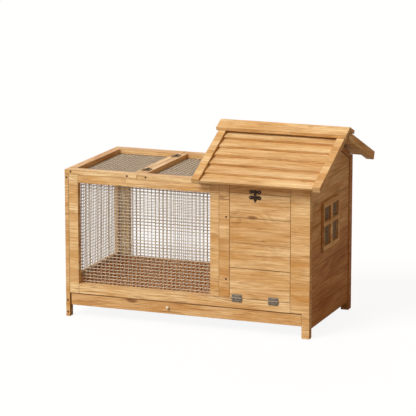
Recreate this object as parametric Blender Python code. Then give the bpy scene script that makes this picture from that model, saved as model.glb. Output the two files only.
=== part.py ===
"""Rabbit hutch: a wire run with a lifting lid, joined to a gabled house with a
drop-down door, over a pull-out tray.

Plan: X runs left to right, Y runs front to back, Z is up, all in metres.
Sizes are written from the hutch's front left foot corner and moved once, in
hutch(), so that the origin lies under the middle of the whole outline.
"""
import bpy
import bmesh
from math import cos, sin, tan, radians, pi
from mathutils import Matrix, Vector

# ---- driving dimensions ----------------------------------------------------
BODY_LENGTH = 0.900
BODY_DEPTH = 0.465
FRAME = 0.015            # thickness of the side, back and top frames
FRONT_FRAME = 0.024      # depth of the front frame
PANEL = 0.009            # thickness of the wall boards
GAP = 0.0003             # clearance between touching pieces

LEG_DEPTH = 0.026        # side width of the front legs
REAR_LEG_DEPTH = 0.033   # side width of the right rear leg
RIGHT_LEG = 0.028        # front width of the right legs

TRAY_BOTTOM = 0.043
TRAY_TOP = 0.0828
RAIL_BOTTOM = 0.086      # front bottom rail
RAIL_TOP = 0.121
RUN_OPENING_TOP = 0.480
FRAME_TOP = 0.5087       # top of the run's side frames
LID_TOP = 0.5247         # top of the frames that lie on them

LEFT_STILE_END = 0.050   # right edges of the upright strips, left to right
RUN_END = 0.541
MID_POST_END = 0.5735
DOOR_LEFT = 0.6118
DOOR_RIGHT = 0.831
DOOR_TOP = 0.4875
DOOR_BOTTOM = 0.1217
DOOR_THICKNESS = 0.012
DOOR_SEAM = 0.3143
DOOR_GAP = 0.0008
HOUSE_FRONT_TOP = 0.531

LID_SEAM = 0.2715        # line between the lid and the fixed top frame
TOP_FRONT_RAIL = 0.037
TOP_BACK_RAIL = 0.047
TOP_SIDE_RAIL = 0.031
TOP_MID_RAIL = 0.0228

PARTITION_LEFT = 0.549
FLOOR_Z = 0.110

WALL_FACE = 0.897        # outer face of the right wall's boards
WALL_SEAMS = (0.030, 0.1667, 0.3081, 0.4495)
WALL_BACK_TOP = 0.557    # top of the right wall at its back edge
WALL_RIDGE_TOP = 0.650
GABLE_RAIL = 0.023       # upright height of the sloping rail

WINDOW_Y = (0.130, 0.138, 0.204, 0.228, 0.288, 0.304)
WINDOW_Z = (0.275, 0.2935, 0.362, 0.377, 0.4275, 0.445)
WINDOW_THICKNESS = 0.008

RIDGE_Y = 0.2535
RIDGE_Z = 0.6784         # where the tops of the roof battens would meet
FRONT_SLOPE = radians(25.2)
REAR_SLOPE = radians(22.1)
FRONT_LENGTH = 0.337
REAR_LENGTH = 0.336
ROOF_LEFT = 0.491
ROOF_RIGHT = 0.950
BATTEN_WIDTH = 0.028
FRONT_BATTEN = 0.018
REAR_BATTEN = 0.029
SLAT_COUNT = 6
SLAT_PITCH = 0.0517
SLAT_LAP = 0.010
SLAT_THICKNESS = 0.008
SLAT_DROP = 0.005        # slat's lower edge, below the batten's top
RIDGE_BOARD_WIDTH = 0.048
RIDGE_BOARD = 0.012
RIDGE_OVERHANG = 0.007
UNDER_ROOF = 0.0238      # depth of the slats' underside below the batten tops

MESH_THICKNESS = 0.0005  # of the plain sheets that stand for welded wire
WIRE_FLOOR = 0.117       # underside of the run's wire floor

HINGE_LENGTH = 0.037
HINGE_LEAF = 0.0135
HINGE_PLATE = 0.0015
KNUCKLE_RADIUS = 0.003
PIN_RADIUS = 0.0013
DOOR_HINGES_X = (0.6390, 0.7705)
LID_HINGES_Y = (0.091, 0.364)

LATCH_X = 0.704
LATCH_WIDTH = 0.045
LATCH_PIVOT_Y = -0.0054
LATCH_PIVOT_Z = 0.4800
LATCH_PIN_RADIUS = 0.0016

ORIGIN_X = (ROOF_RIGHT + RIDGE_OVERHANG) / 2
ORIGIN_Y = RIDGE_Y + (REAR_LENGTH * cos(REAR_SLOPE) - FRONT_LENGTH * cos(FRONT_SLOPE)) / 2


# ---- materials ---------------------------------------------------------------
def material(name, colour, roughness, metallic=0.0):
    made = bpy.data.materials.new(name)
    made.use_nodes = True
    made.diffuse_color = (*colour, 1.0)
    shader = made.node_tree.nodes["Principled BSDF"]
    shader.inputs["Base Color"].default_value = (*colour, 1.0)
    shader.inputs["Roughness"].default_value = roughness
    shader.inputs["Metallic"].default_value = metallic
    return made


def stained_fir(name, shade=1.0):
    """Each board has its own material, so each can be toned on its own."""
    return material(name + "_fir", (0.62 * shade, 0.36 * shade, 0.15 * shade), 0.55)


# ---- shape helpers -----------------------------------------------------------
def add_object(name, bm, look):
    bmesh.ops.recalc_face_normals(bm, faces=bm.faces)
    mesh = bpy.data.meshes.new(name)
    bm.to_mesh(mesh)
    bm.free()
    mesh.materials.append(look)
    made = bpy.data.objects.new(name, mesh)
    bpy.context.collection.objects.link(made)
    return made


def prism(name, axis, outline, low, high, look):
    """Outline in the plane square to the axis, stretched from low to high.

    The outline holds (y, z) pairs for axis X, (x, z) for Y and (x, y) for Z.
    """
    order = {"X": lambda u, v, w: (w, u, v),
             "Y": lambda u, v, w: (u, w, v),
             "Z": lambda u, v, w: (u, v, w)}[axis]
    bm = bmesh.new()
    face = bm.faces.new([bm.verts.new(order(u, v, low)) for u, v in outline])
    grown = bmesh.ops.extrude_face_region(bm, geom=[face])
    moved = [item for item in grown["geom"] if isinstance(item, bmesh.types.BMVert)]
    bmesh.ops.translate(bm, verts=moved, vec=Vector(order(0, 0, high - low)))
    return add_object(name, bm, look)


def board(name, x, y, z, look=None):
    """A plain board between two values along each axis."""
    outline = [(x[0], z[0]), (x[1], z[0]), (x[1], z[1]), (x[0], z[1])]
    return prism(name, "Y", outline, y[0], y[1], look or stained_fir(name))


def cells(name, axis, columns, rows, filled, low, high, look):
    """A flat piece made of the filled cells of a grid, as one closed solid.

    filled(column, row) says which cells hold material.
    """
    order = {"X": lambda u, v, w: (w, u, v),
             "Y": lambda u, v, w: (u, w, v),
             "Z": lambda u, v, w: (u, v, w)}[axis]
    bm = bmesh.new()
    corner = {}

    def vertex(i, j, w):
        if (i, j, w) not in corner:
            corner[i, j, w] = bm.verts.new(order(columns[i], rows[j], w))
        return corner[i, j, w]

    def solid(i, j):
        inside = 0 <= i < len(columns) - 1 and 0 <= j < len(rows) - 1
        return inside and filled(i, j)

    for i in range(len(columns) - 1):
        for j in range(len(rows) - 1):
            if not solid(i, j):
                continue
            ring = [(i, j), (i + 1, j), (i + 1, j + 1), (i, j + 1)]
            for w in (low, high):
                bm.faces.new([vertex(a, b, w) for a, b in ring])
            beside = [(i, j - 1), (i + 1, j), (i, j + 1), (i - 1, j)]
            for side, (a, b) in enumerate(beside):
                if not solid(a, b):
                    p, q = ring[side], ring[(side + 1) % 4]
                    bm.faces.new([vertex(*p, low), vertex(*q, low),
                                  vertex(*q, high), vertex(*p, high)])
    return add_object(name, bm, look)


def ring_frame(name, axis, columns, rows, low, high, look=None):
    """A rectangular frame with one opening: four values along each side."""
    return cells(name, axis, columns, rows, lambda i, j: (i, j) != (1, 1),
                 low, high, look or stained_fir(name))


def wire_panel(name, x, y, z):
    """A plain thin sheet in place of a panel of fine welded wire."""
    look = material(name + "_galvanised", (0.72, 0.70, 0.66), 0.4, 0.9)
    return board(name, x, y, z, look)


def cylinder(name, centre, axis, radius, length, look, sides=16):
    """A round bar centred on a point, along X, Y or Z."""
    turn = {"X": Matrix.Rotation(pi / 2, 4, "Y"),
            "Y": Matrix.Rotation(pi / 2, 4, "X"),
            "Z": Matrix.Identity(4)}[axis]
    bm = bmesh.new()
    bmesh.ops.create_cone(bm, cap_ends=True, segments=sides, radius1=radius,
                          radius2=radius, depth=length,
                          matrix=Matrix.Translation(centre) @ turn)
    return add_object(name, bm, look)


def combine(base, others, operation="UNION"):
    """Applies a Boolean with each of the others, then removes them."""
    for other in others:
        tool = base.modifiers.new(operation.lower(), "BOOLEAN")
        tool.operation = operation
        tool.solver = "EXACT"
        tool.object = other
        depsgraph = bpy.context.evaluated_depsgraph_get()
        result = bpy.data.meshes.new_from_object(base.evaluated_get(depsgraph))
        base.modifiers.clear()
        base.data = result
        bpy.data.objects.remove(other)
    return base


# ---- slope helpers: s runs down the slope from the ridge, n stands off it ----
def front_point(s, n):
    return (RIDGE_Y - s * cos(FRONT_SLOPE) - n * sin(FRONT_SLOPE),
            RIDGE_Z - s * sin(FRONT_SLOPE) + n * cos(FRONT_SLOPE))


def rear_point(s, n):
    return (RIDGE_Y + s * cos(REAR_SLOPE) + n * sin(REAR_SLOPE),
            RIDGE_Z - s * sin(REAR_SLOPE) + n * cos(REAR_SLOPE))


def under_front(y):
    """Height of the front slats' underside at a depth y."""
    return RIDGE_Z - (RIDGE_Y - y) * tan(FRONT_SLOPE) - UNDER_ROOF / cos(FRONT_SLOPE)


def under_rear(y, depth):
    return RIDGE_Z - (y - RIDGE_Y) * tan(REAR_SLOPE) - depth / cos(REAR_SLOPE)


# ---- the run -----------------------------------------------------------------
def run_walls():
    back = BODY_DEPTH - LEG_DEPTH
    cells("left_side_frame", "X", [0, LEG_DEPTH, back, BODY_DEPTH],
          [0, TRAY_BOTTOM, 0.136, RUN_OPENING_TOP, FRAME_TOP],
          lambda i, j: i != 1 or j in (1, 3), 0, FRAME, stained_fir("left_side_frame"))
    inner = FRAME + GAP
    front = (0, FRONT_FRAME)
    board("front_left_stile", (inner, LEFT_STILE_END), front, (RAIL_BOTTOM, FRAME_TOP))
    board("front_top_rail", (LEFT_STILE_END + GAP, RUN_END - GAP), front,
          (RUN_OPENING_TOP, FRAME_TOP))
    board("front_bottom_rail", (LEFT_STILE_END + GAP, DOOR_RIGHT - GAP), front,
          (RAIL_BOTTOM, RAIL_TOP))
    ring_frame("rear_run_frame", "Y", [inner, 0.055, RUN_END, MID_POST_END - GAP],
               [TRAY_BOTTOM, 0.1225, RUN_OPENING_TOP, FRAME_TOP],
               BODY_DEPTH - FRAME, BODY_DEPTH)

    near = FRONT_FRAME + GAP
    far = BODY_DEPTH - FRAME - GAP
    between = (near + MESH_THICKNESS + GAP, far - MESH_THICKNESS - GAP)
    x = (inner, PARTITION_LEFT - 0.004)
    z = (RAIL_TOP + 0.0005, 0.495)
    wire_panel("left_side_mesh", (inner, inner + MESH_THICKNESS), between, z)
    wire_panel("front_mesh", x, (near, near + MESH_THICKNESS), z)
    wire_panel("rear_mesh", x, (far - MESH_THICKNESS, far), z)
    wire_panel("wire_floor", (inner + MESH_THICKNESS + GAP, x[1]), between,
               (WIRE_FLOOR, WIRE_FLOOR + 0.001))


def run_top():
    back_rail = BODY_DEPTH - TOP_BACK_RAIL
    seam = LID_SEAM - 0.0005
    z = (FRAME_TOP + GAP, LID_TOP)
    ring_frame("lid_frame", "Z", [0, TOP_SIDE_RAIL, seam - TOP_MID_RAIL, seam],
               [0, TOP_FRONT_RAIL, back_rail, BODY_DEPTH], *z)
    seam = LID_SEAM + 0.0005
    ring_frame("run_top_frame", "Z",
               [seam, seam + TOP_MID_RAIL, RUN_END - TOP_MID_RAIL, RUN_END - GAP],
               [0, TOP_FRONT_RAIL, back_rail, BODY_DEPTH], *z)
    under = (FRAME_TOP - MESH_THICKNESS, FRAME_TOP)
    inset = FRAME + 0.004
    depth = (FRONT_FRAME + 0.004, BODY_DEPTH - inset)
    wire_panel("lid_mesh", (inset, LID_SEAM - 0.006), depth, under)
    wire_panel("run_top_mesh", (LID_SEAM + 0.006, RUN_END - 0.002), depth, under)


# ---- the house ---------------------------------------------------------------
def house_front():
    above_rail = RAIL_TOP + GAP
    depth = (0, FRONT_FRAME)
    board("front_mid_post", (RUN_END, MID_POST_END - GAP), depth,
          (above_rail, HOUSE_FRONT_TOP))
    board("house_left_stile", (MID_POST_END, DOOR_LEFT - DOOR_GAP), depth,
          (above_rail, HOUSE_FRONT_TOP))
    board("house_top_rail", (DOOR_LEFT, DOOR_RIGHT - GAP), depth,
          (DOOR_TOP + DOOR_GAP, HOUSE_FRONT_TOP))
    leg = BODY_LENGTH - RIGHT_LEG
    prism("right_corner_board", "Y",
          [(DOOR_RIGHT, RAIL_BOTTOM), (leg, RAIL_BOTTOM), (leg, 0), (BODY_LENGTH, 0),
           (BODY_LENGTH, HOUSE_FRONT_TOP), (DOOR_RIGHT, HOUSE_FRONT_TOP)],
          *depth, stained_fir("right_corner_board"))

    boards = (("lower", DOOR_BOTTOM + GAP, DOOR_SEAM), ("upper", DOOR_SEAM + GAP, DOOR_TOP))
    for place, bottom, top in boards:
        board(f"door_board_{place}", (DOOR_LEFT, DOOR_RIGHT - DOOR_GAP),
              (0, DOOR_THICKNESS), (bottom, top))
    behind = DOOR_THICKNESS + GAP
    for side, x in zip(("left", "right"), DOOR_HINGES_X):
        board(f"door_batten_{side}", (x - 0.015, x + 0.015), (behind, behind + 0.010),
              (DOOR_BOTTOM + 0.018, DOOR_TOP - 0.020))


def gable_heights(y):
    """Top of the right wall: it climbs from both ends to the ridge."""
    if y <= RIDGE_Y:
        return WALL_RIDGE_TOP - (RIDGE_Y - y) * tan(FRONT_SLOPE)
    back = (WALL_RIDGE_TOP - WALL_BACK_TOP) / (BODY_DEPTH - RIDGE_Y)
    return WALL_RIDGE_TOP - (y - RIDGE_Y) * back


def right_wall():
    front = FRONT_FRAME + GAP
    back = BODY_DEPTH - REAR_LEG_DEPTH - GAP
    inner_face = WALL_FACE - PANEL
    board("right_rear_leg", (BODY_LENGTH - RIGHT_LEG, BODY_LENGTH),
          (BODY_DEPTH - REAR_LEG_DEPTH, BODY_DEPTH), (0, WALL_BACK_TOP - 0.001))
    hole_y = (WINDOW_Y[1], WINDOW_Y[-2])
    hole_z = (WINDOW_Z[1], WINDOW_Z[-2])
    seams = WALL_SEAMS
    columns = [front, hole_y[0], hole_y[1], back]
    board("right_wall_board_1", (inner_face, WALL_FACE), (front, back),
          (seams[0], seams[1] - GAP))
    cells("right_wall_board_2", "X", columns, [seams[1], hole_z[0], seams[2] - GAP],
          lambda i, j: (i, j) != (1, 1), inner_face, WALL_FACE,
          stained_fir("right_wall_board_2"))
    cells("right_wall_board_3", "X", columns, [seams[2], hole_z[1], seams[3] - GAP],
          lambda i, j: (i, j) != (1, 0), inner_face, WALL_FACE,
          stained_fir("right_wall_board_3"))

    under = GABLE_RAIL + GAP
    prism("right_gable_board", "X",
          [(front, seams[3]), (back, seams[3]), (back, gable_heights(back) - under),
           (RIDGE_Y, WALL_RIDGE_TOP - under), (front, gable_heights(front) - under)],
          inner_face, WALL_FACE, stained_fir("right_gable_board"))
    prism("right_gable_rail", "X",
          [(y, gable_heights(y)) for y in (front, RIDGE_Y, back)]
          + [(y, gable_heights(y) - GABLE_RAIL) for y in (back, RIDGE_Y, front)],
          BODY_LENGTH - FRAME, BODY_LENGTH, stained_fir("right_gable_rail"))

    mesh_face = WALL_FACE + GAP
    frame_face = mesh_face + MESH_THICKNESS + GAP
    wire_panel("window_mesh", (mesh_face, frame_face - GAP),
               (WINDOW_Y[0] + 0.002, WINDOW_Y[-1] - 0.002),
               (WINDOW_Z[0] + 0.002, WINDOW_Z[-1] - 0.002))
    cells("window_frame", "X", WINDOW_Y, WINDOW_Z,
          lambda i, j: i not in (1, 3) or j not in (1, 3),
          frame_face, frame_face + WINDOW_THICKNESS, stained_fir("window_frame"))


def house_inside():
    front = FRONT_FRAME + 0.003
    back = BODY_DEPTH - 0.019
    door_front, door_back, door_top = 0.150, 0.310, 0.330
    front_top = under_front(front)
    prism("partition_wall", "X",
          [(front, FLOOR_Z), (door_front, FLOOR_Z), (door_front, door_top),
           (door_back, door_top), (door_back, FLOOR_Z), (back, FLOOR_Z),
           (back, under_rear(back, 0.0162)), (RIDGE_Y, under_front(RIDGE_Y) - 0.001),
           (front, front_top)],
          PARTITION_LEFT, PARTITION_LEFT + PANEL, stained_fir("partition_wall"))
    board("house_floor", (PARTITION_LEFT + PANEL + GAP, BODY_LENGTH - RIGHT_LEG - GAP),
          (FRONT_FRAME + GAP + 0.001, BODY_DEPTH - FRAME - GAP), (FLOOR_Z, FLOOR_Z + PANEL))
    board("house_back_wall", (MID_POST_END, BODY_LENGTH - RIGHT_LEG - GAP),
          (BODY_DEPTH - FRAME + GAP, BODY_DEPTH - FRAME + GAP + PANEL),
          (TRAY_BOTTOM, under_rear(BODY_DEPTH - FRAME + PANEL, 0.0155) - 0.001))


# ---- the roof ----------------------------------------------------------------
def slope_board(name, point, x, corners):
    """A roof piece: corners are (s, n) pairs on one slope."""
    return prism(name, "X", [point(s, n) for s, n in corners], x[0], x[1],
                 stained_fir(name, 1.1))


def roof():
    left = (ROOF_LEFT, ROOF_LEFT + BATTEN_WIDTH)
    right = (ROOF_RIGHT - BATTEN_WIDTH, ROOF_RIGHT)
    between = (left[1] + GAP, right[0] - GAP)
    top_end = 0.016
    for side, x in (("left", left), ("right", right)):
        slope_board(f"front_roof_batten_{side}", front_point, x,
                    [(top_end, 0), (FRONT_LENGTH, 0),
                     (FRONT_LENGTH, -FRONT_BATTEN), (top_end, -FRONT_BATTEN)])
        slope_board(f"rear_roof_batten_{side}", rear_point, x,
                    [(top_end, 0), (REAR_LENGTH, 0),
                     (REAR_LENGTH, -REAR_BATTEN), (top_end, -REAR_BATTEN)])

    rise = (SLAT_THICKNESS + 0.0004) / SLAT_PITCH
    for index in range(SLAT_COUNT):
        lower = FRONT_LENGTH - SLAT_PITCH * (SLAT_COUNT - 1 - index)
        upper = max(lower - SLAT_PITCH - SLAT_LAP, top_end)
        high = -SLAT_DROP
        low = high - rise * (lower - upper)
        slope_board(f"front_roof_slat_{index + 1}", front_point, between,
                    [(upper, low), (lower, high), (lower, high - SLAT_THICKNESS),
                     (upper, low - SLAT_THICKNESS)])
    slope_board("rear_roof_boards", rear_point, between,
                [(top_end, -0.0075), (REAR_LENGTH, -0.0075),
                 (REAR_LENGTH, -0.0155), (top_end, -0.0155)])

    ends = (ROOF_LEFT - RIDGE_OVERHANG, ROOF_RIGHT + RIDGE_OVERHANG)
    low, high = GAP, GAP + RIDGE_BOARD
    for name, point, slope in (("ridge_board_front", front_point, FRONT_SLOPE),
                               ("ridge_board_rear", rear_point, REAR_SLOPE)):
        slope_board(name, point, ends,
                    [(GAP - high * tan(slope), high), (RIDGE_BOARD_WIDTH, high),
                     (RIDGE_BOARD_WIDTH, low), (GAP - low * tan(slope), low)])


# ---- the tray ----------------------------------------------------------------
def tray():
    front = board("tray_front", (0.021, 0.8695), (0, 0.012), (TRAY_BOTTOM, TRAY_TOP))
    knob_look = material("tray_knob_white", (0.85, 0.8, 0.72), 0.4)
    knob = cylinder("knob", (0.3851, -0.004, 0.0655), "Y", 0.0055, 0.010, knob_look)
    combine(front, [knob])

    wall = 0.003
    x, y, z = (0.0215, 0.869), (0.0125, 0.430), (0.0465, 0.080)
    pan_look = stained_fir("tray_pan", 0.8)
    pan = board("tray_pan", x, y, z, pan_look)
    hollow = board("hollow", (x[0] + wall, x[1] - wall), (y[0] + wall, y[1] - wall),
                   (z[0] + wall, z[1] + 0.01), pan_look)
    combine(pan, [hollow], "DIFFERENCE")

    depth, height = (LEG_DEPTH + GAP, 0.449), (0.036, 0.0455)
    right = BODY_LENGTH - RIGHT_LEG - 0.0005
    board("tray_runner_left", (FRAME + GAP, 0.032), depth, height)
    board("tray_runner_right", (right - 0.017, right), depth, height)


# ---- hinges and latch ----------------------------------------------------------
def hinge_leaf(name, outer, look):
    """One leaf of a butt hinge, its barrel along X through the origin.

    The leaf lies on the face at y = KNUCKLE_RADIUS and reaches up (+Z). The
    outer leaf carries the two end knuckles and the pin, the other one the
    middle knuckle, bored for the pin.
    """
    third = HINGE_LENGTH / 3
    breaks = [-HINGE_LENGTH / 2, -third / 2, third / 2, HINGE_LENGTH / 2]
    clear = KNUCKLE_RADIUS + 0.0004
    face = KNUCKLE_RADIUS
    tabs = (0, 2) if outer else (1,)
    if not outer:
        breaks = [breaks[0], breaks[1] + GAP, breaks[2] - GAP, breaks[3]]
    leaf = cells(name, "Y", breaks, [0.0008, clear, HINGE_LEAF],
                 lambda i, j: j == 1 or i in tabs, face - HINGE_PLATE, face, look)
    knuckles = []
    for tab in tabs:
        middle = (breaks[tab] + breaks[tab + 1]) / 2
        length = breaks[tab + 1] - breaks[tab]
        knuckles.append(cylinder("knuckle", (middle, 0, 0), "X", KNUCKLE_RADIUS, length, look))
    combine(leaf, knuckles)
    if outer:
        pin = cylinder("pin", (0, 0, 0), "X", PIN_RADIUS, HINGE_LENGTH - 0.004, look, 12)
        combine(leaf, [pin])
    else:
        bore = cylinder("bore", (0, 0, 0), "X", PIN_RADIUS + GAP, HINGE_LENGTH, look, 12)
        combine(leaf, [bore], "DIFFERENCE")
    return leaf


def hinges():
    steel = material("hinge_steel", (0.5, 0.5, 0.5), 0.35, 0.9)
    bronze = material("hinge_bronze", (0.10, 0.07, 0.05), 0.45, 0.8)
    stand_off = KNUCKLE_RADIUS + GAP
    for side, x in zip(("left", "right"), DOOR_HINGES_X):
        place = Matrix.Translation((x, -stand_off, RAIL_TOP + 0.0005))
        frame_leaf = hinge_leaf(f"door_hinge_{side}_frame_leaf", True, steel)
        frame_leaf.matrix_world = place @ Matrix.Scale(-1, 4, (0, 0, 1))
        door_leaf = hinge_leaf(f"door_hinge_{side}_door_leaf", False, steel)
        door_leaf.matrix_world = place

    on_top = Matrix.Rotation(pi / 2, 4, "Z") @ Matrix.Rotation(-pi / 2, 4, "X")
    for place_name, y in zip(("front", "rear"), LID_HINGES_Y):
        place = Matrix.Translation((LID_SEAM, y, LID_TOP + stand_off))
        frame_leaf = hinge_leaf(f"lid_hinge_{place_name}_frame_leaf", True, bronze)
        frame_leaf.matrix_world = place @ Matrix.Scale(-1, 4, (1, 0, 0)) @ on_top
        lid_leaf = hinge_leaf(f"lid_hinge_{place_name}_lid_leaf", False, bronze)
        lid_leaf.matrix_world = place @ on_top


def latch():
    """A flap catch: the flap is hinged on the door's plate and lies on the rail's."""
    bronze = material("latch_bronze", (0.10, 0.07, 0.05), 0.45, 0.8)
    half = LATCH_WIDTH / 2
    plate = (-0.0018, -GAP)
    board("latch_strike_plate", (LATCH_X - half, LATCH_X + half), plate,
          (0.4905, 0.5010), bronze)

    lower = board("latch_door_plate", (LATCH_X - half, LATCH_X + half), plate,
                  (0.4700, 0.4830), bronze)
    tail = cylinder("tail", (LATCH_X - 0.004, -0.0014, 0.4645), "Y", 0.0062, 0.0018, bronze)
    pin = cylinder("pin", (LATCH_X, LATCH_PIVOT_Y, LATCH_PIVOT_Z), "X", LATCH_PIN_RADIUS,
                   0.026, bronze, 12)
    ears = [board("ear", (middle - 0.002, middle + 0.002),
                  (LATCH_PIVOT_Y - 0.0024, -0.0008), (LATCH_PIVOT_Z - 0.0024, LATCH_PIVOT_Z + 0.0024),
                  bronze) for middle in (LATCH_X - 0.011, LATCH_X + 0.011)]
    combine(lower, [tail] + ears + [pin])

    flap = board("latch_flap", (LATCH_X - 0.0070, LATCH_X + 0.0070), (-0.0043, -0.0026),
                 (LATCH_PIVOT_Z, 0.4975), bronze)
    barrel = cylinder("barrel", (LATCH_X, LATCH_PIVOT_Y, LATCH_PIVOT_Z), "X", 0.0030,
                      0.0160, bronze)
    combine(flap, [barrel])
    bore = cylinder("bore", (LATCH_X, LATCH_PIVOT_Y, LATCH_PIVOT_Z), "X",
                    LATCH_PIN_RADIUS + 0.0001, 0.030, bronze, 12)
    combine(flap, [bore], "DIFFERENCE")


# ---- joint axes and assembly ---------------------------------------------------
def set_origin(item, point):
    """Puts an object's origin on a joint's axis, and leaves the shape in place."""
    mirrored = item.matrix_world.determinant() < 0
    item.data.transform(Matrix.Translation(-Vector(point)) @ item.matrix_world)
    if mirrored:
        item.data.flip_normals()
    item.matrix_world = Matrix.Translation(point)


def hutch():
    for item in list(bpy.data.objects):
        bpy.data.objects.remove(item)
    run_walls()
    run_top()
    house_front()
    right_wall()
    house_inside()
    roof()
    tray()
    hinges()
    latch()

    axis_stand_off = KNUCKLE_RADIUS + GAP
    pivots = {
        "house_door": (0.7213, -axis_stand_off, RAIL_TOP + 0.0005),
        "run_lid": (LID_SEAM, BODY_DEPTH / 2, LID_TOP + axis_stand_off),
        "latch": (LATCH_X, LATCH_PIVOT_Y, LATCH_PIVOT_Z),
        "tray": (0.44525, 0.0, TRAY_BOTTOM),
        "fixed": (0.0, 0.0, 0.0),
    }
    moving = {
        "house_door": ("door_board_lower", "door_board_upper", "door_batten_left",
                       "door_batten_right", "door_hinge_left_door_leaf",
                       "door_hinge_right_door_leaf", "latch_door_plate"),
        "run_lid": ("lid_frame", "lid_mesh", "lid_hinge_front_lid_leaf",
                    "lid_hinge_rear_lid_leaf"),
        "latch": ("latch_flap",),
        "tray": ("tray_front", "tray_pan"),
    }
    body = {node: name for name, nodes in moving.items() for node in nodes}
    shift = Vector((-ORIGIN_X, -ORIGIN_Y, 0))
    bpy.context.view_layer.update()
    for item in list(bpy.data.objects):
        set_origin(item, pivots[body.get(item.name, "fixed")])
        item.location += shift


hutch()
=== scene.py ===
"""Looks for the rabbit hutch: a stained fir run and house with welded wire."""
from math import cos, pi, radians
from random import Random

import bpy
from mathutils import Matrix, Vector


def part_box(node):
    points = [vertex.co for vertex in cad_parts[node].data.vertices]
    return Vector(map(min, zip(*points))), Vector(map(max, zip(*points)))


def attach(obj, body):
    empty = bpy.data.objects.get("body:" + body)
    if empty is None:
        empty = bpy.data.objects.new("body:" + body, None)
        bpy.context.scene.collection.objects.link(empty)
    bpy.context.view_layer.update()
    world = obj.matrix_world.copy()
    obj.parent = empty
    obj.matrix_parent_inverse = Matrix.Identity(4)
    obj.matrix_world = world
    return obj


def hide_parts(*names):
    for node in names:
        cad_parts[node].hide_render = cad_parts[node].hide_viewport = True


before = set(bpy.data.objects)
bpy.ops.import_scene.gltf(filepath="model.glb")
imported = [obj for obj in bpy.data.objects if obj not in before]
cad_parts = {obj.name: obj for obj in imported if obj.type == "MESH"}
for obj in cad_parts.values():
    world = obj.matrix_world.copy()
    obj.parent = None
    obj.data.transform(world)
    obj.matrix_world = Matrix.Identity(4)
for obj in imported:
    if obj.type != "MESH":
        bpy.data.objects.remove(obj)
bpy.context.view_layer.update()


# ---- Camera ----
# A long lens from far off, a little above the hutch and to its right: it sees the
# front and the right side, and parallel edges hardly close up.
bpy.ops.object.camera_add(location=(2.9430, -7.7891, 2.1374),
                          rotation=(radians(90 - 11.967), 0, radians(20.978)))
camera = bpy.context.active_object
camera.data.lens = 209.84
camera.data.sensor_width = 36
camera.data.clip_end = 60
bpy.context.scene.camera = camera


# ---- Studio: pale floor, soft key light from the front left, warm room light ----
# The room is white to the eye and dimmer as a light, so that one side is in shade.
# The floor is paper that glows to the eye only. Three wide, distant lights do the rest.
def linear(code):
    """sRGB hex to the linear colour that a shader takes."""
    values = [int(code[place:place + 2], 16) / 255 for place in (1, 3, 5)]
    return tuple(v / 12.92 if v <= 0.04045 else ((v + 0.055) / 1.055) ** 2.4
                 for v in values) + (1.0,)


def add_node(tree, kind, links=None, **settings):
    """One node, its settings, and what goes into each of its sockets."""
    made = tree.nodes.new(kind)
    for name, value in settings.items():
        setattr(made, name, value)
    for socket, value in (links or {}).items():
        if isinstance(value, bpy.types.NodeSocket):
            tree.links.new(value, made.inputs[socket])
        else:
            made.inputs[socket].default_value = value
    return made


scene = bpy.context.scene
scene.view_settings.view_transform = "Standard"
room = bpy.data.worlds.new("room")
scene.world = room
room.use_nodes = True
room.node_tree.nodes.clear()
seen = add_node(room.node_tree, "ShaderNodeLightPath")
white = add_node(room.node_tree, "ShaderNodeBackground", {"Color": (1, 1, 1, 1), "Strength": 1.05})
glow = add_node(room.node_tree, "ShaderNodeBackground",
                {"Color": linear("#FFD2A4"), "Strength": 0.36})
both = add_node(room.node_tree, "ShaderNodeMixShader",
                {0: seen.outputs["Is Camera Ray"], 1: glow.outputs[0], 2: white.outputs[0]})
add_node(room.node_tree, "ShaderNodeOutputWorld", {"Surface": both.outputs[0]})

bpy.ops.mesh.primitive_plane_add(size=60)
floor = bpy.context.active_object
floor.name = "studio_floor"
floor.data.name = "studio_floor"
paper = bpy.data.materials.new("matt_white_paper")
paper.use_nodes = True
paper.node_tree.nodes.clear()
seen = add_node(paper.node_tree, "ShaderNodeLightPath")
dull = add_node(paper.node_tree, "ShaderNodeBsdfDiffuse", {"Color": (0.34, 0.31, 0.28, 1)})
bright = add_node(paper.node_tree, "ShaderNodeBsdfDiffuse", {"Color": (0.12, 0.12, 0.12, 1)})
lift = add_node(paper.node_tree, "ShaderNodeEmission", {"Color": (1, 1, 1, 1), "Strength": 0.90})
lit = add_node(paper.node_tree, "ShaderNodeAddShader", {0: bright.outputs[0], 1: lift.outputs[0]})
both = add_node(paper.node_tree, "ShaderNodeMixShader",
                {0: seen.outputs["Is Camera Ray"], 1: dull.outputs[0], 2: lit.outputs[0]})
add_node(paper.node_tree, "ShaderNodeOutputMaterial", {"Surface": both.outputs[0]})
floor.data.materials.append(paper)


def softbox(name, place, strength, angle, colour):
    """A distant soft light that shines on the hutch from a place."""
    aim = (-Vector(place)).to_track_quat("-Z", "Y").to_euler()
    bpy.ops.object.light_add(type="SUN", location=place, rotation=aim)
    light = bpy.context.active_object
    light.name = name
    light.data.energy = strength
    light.data.angle = radians(angle)
    light.data.color = colour


softbox("key", (-2.2, -4.2, 4.3), 2.3, 28, (1.0, 0.98, 0.94))
softbox("front_fill", (-3.0, -6.0, 1.2), 0.62, 45, (1.0, 0.985, 0.96))
softbox("rear_fill", (-2.6, 4.0, 1.6), 0.9, 60, (1.0, 0.98, 0.95))


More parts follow.
